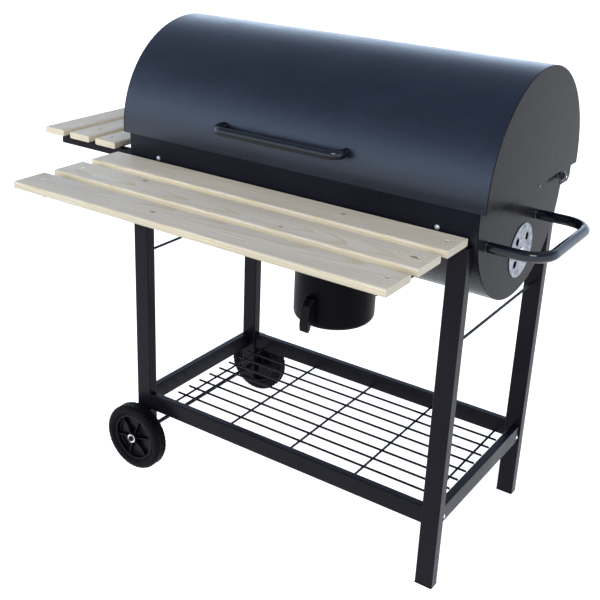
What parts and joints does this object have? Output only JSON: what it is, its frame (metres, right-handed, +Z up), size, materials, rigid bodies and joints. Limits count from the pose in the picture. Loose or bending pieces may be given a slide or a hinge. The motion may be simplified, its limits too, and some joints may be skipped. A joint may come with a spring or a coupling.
{
  "type": "barrel charcoal grill cart",
  "caption": "Charcoal barrel grill on a two-wheeled cart: hinged half-barrel lid, slatted front and side shelves, push handle, wire rack, vents and drop ash cup.",
  "frame": {"origin": "centre of the whole grill's footprint on the floor", "axes": "+X along the barrel from the wheels towards the push handle, +Y from the front shelf towards the back, +Z up"},
  "size_m": [1.291, 0.797, 1.0665],
  "materials": {
    "black_enamel": "satin high-temperature black paint with a faint navy sheen",
    "end_enamel": "matt high-temperature paint, greyer than the rolled sheets",
    "frame_paint": "semi-gloss black powder coat",
    "handle_paint": "gloss black",
    "black_plastic": "moulded black plastic",
    "tyre_rubber": "matt black, moulded tread",
    "black_wire": "black coated wire",
    "plated_steel": "bright plated wire",
    "zinc": "mottled galvanised steel",
    "bolt_steel": "bright zinc-plated fastener",
    "pine": "pale planed pine with knots, unfinished"
  },
  "bodies": {
    "cart": {"firebox_trough": "black_enamel", "ash_collar": "black_enamel", "firebox_end_left": "end_enamel", "firebox_end_right": "end_enamel", "leg_front_left": "frame_paint", "leg_front_right": "frame_paint", "leg_rear_left": "frame_paint", "leg_rear_right": "frame_paint", "rail_front": "frame_paint", "rail_rear": "frame_paint", "rail_left": "frame_paint", "rail_right": "frame_paint", "shelf_bracket_left": "frame_paint", "shelf_bracket_right": "frame_paint", "side_shelf_arm_front": "frame_paint", "side_shelf_arm_rear": "frame_paint", "side_shelf_beam": "frame_paint", "side_handle": "handle_paint", "foot_cap_front": "black_plastic", "foot_cap_rear": "black_plastic", "axle": "black_wire", "bottom_rack": "black_wire", "tie_rod_left": "black_wire", "tie_rod_right": "black_wire", "grate_support_front": "black_wire", "grate_support_rear": "black_wire", "axle_nut_front": "zinc", "axle_nut_rear": "zinc", "hinge_spacer_left": "zinc", "hinge_spacer_right": "zinc", "vent_rivet_left": "bolt_steel", "vent_rivet_right": "bolt_steel", "hinge_bolt_left": "bolt_steel", "hinge_bolt_right": "bolt_steel", "support_bolt_left": "bolt_steel", "support_bolt_right": "bolt_steel", "front_slat_1": "pine", "front_slat_2": "pine", "front_slat_3": "pine", "side_slat_1": "pine", "side_slat_2": "pine", "side_slat_3": "pine"},
    "lid": {"lid_shell": "black_enamel", "lid_end_left": "end_enamel", "lid_end_right": "end_enamel", "lid_handle": "handle_paint"},
    "wheel_front": {"tyre_front": "tyre_rubber", "wheel_rim_front": "black_plastic"},
    "wheel_rear": {"tyre_rear": "tyre_rubber", "wheel_rim_rear": "black_plastic"},
    "damper_left": {"vent_damper_left": "zinc"},
    "damper_right": {"vent_damper_right": "zinc"},
    "ash_cup": {"ash_cup": "black_enamel", "ash_cup_handle": "black_plastic"},
    "cooking_grate_left": {"cooking_grate_left": "plated_steel"},
    "cooking_grate_right": {"cooking_grate_right": "plated_steel"},
    "charcoal_grate": {"charcoal_grate": "black_wire"}
  },
  "joints": [
    {"name": "lid_hinge", "type": "hinge", "parent": "cart", "child": "lid", "pos_m": [0.0995, 0.2877, 0.816], "axis": [-1, 0, 0], "range_deg": [0, 65]},
    {"name": "wheel_front_spin", "type": "hinge", "parent": "cart", "child": "wheel_front", "pos_m": [-0.2905, -0.1318, 0.083], "axis": [0, 1, 0], "continuous": true},
    {"name": "wheel_rear_spin", "type": "hinge", "parent": "cart", "child": "wheel_rear", "pos_m": [-0.2905, 0.3712, 0.083], "axis": [0, 1, 0], "continuous": true},
    {"name": "damper_left_turn", "type": "hinge", "parent": "cart", "child": "damper_left", "pos_m": [-0.324, 0.1261, 0.696], "axis": [1, 0, 0], "range_deg": [0, 45]},
    {"name": "damper_right_turn", "type": "hinge", "parent": "cart", "child": "damper_right", "pos_m": [0.523, 0.1261, 0.696], "axis": [1, 0, 0], "range_deg": [0, 45]},
    {"name": "ash_cup_drop", "type": "slide", "parent": "cart", "child": "ash_cup", "axis": [0, 0, -1], "range_m": [0, 0.12]},
    {"name": "cooking_grate_left_lift", "type": "slide", "parent": "cart", "child": "cooking_grate_left", "axis": [0, 0, 1], "range_m": [0, 0.08]},
    {"name": "cooking_grate_right_lift", "type": "slide", "parent": "cart", "child": "cooking_grate_right", "axis": [0, 0, 1], "range_m": [0, 0.08]},
    {"name": "charcoal_grate_lift", "type": "slide", "parent": "cart", "child": "charcoal_grate", "axis": [0, 0, 1], "range_m": [0, 0.08]}
  ]
}
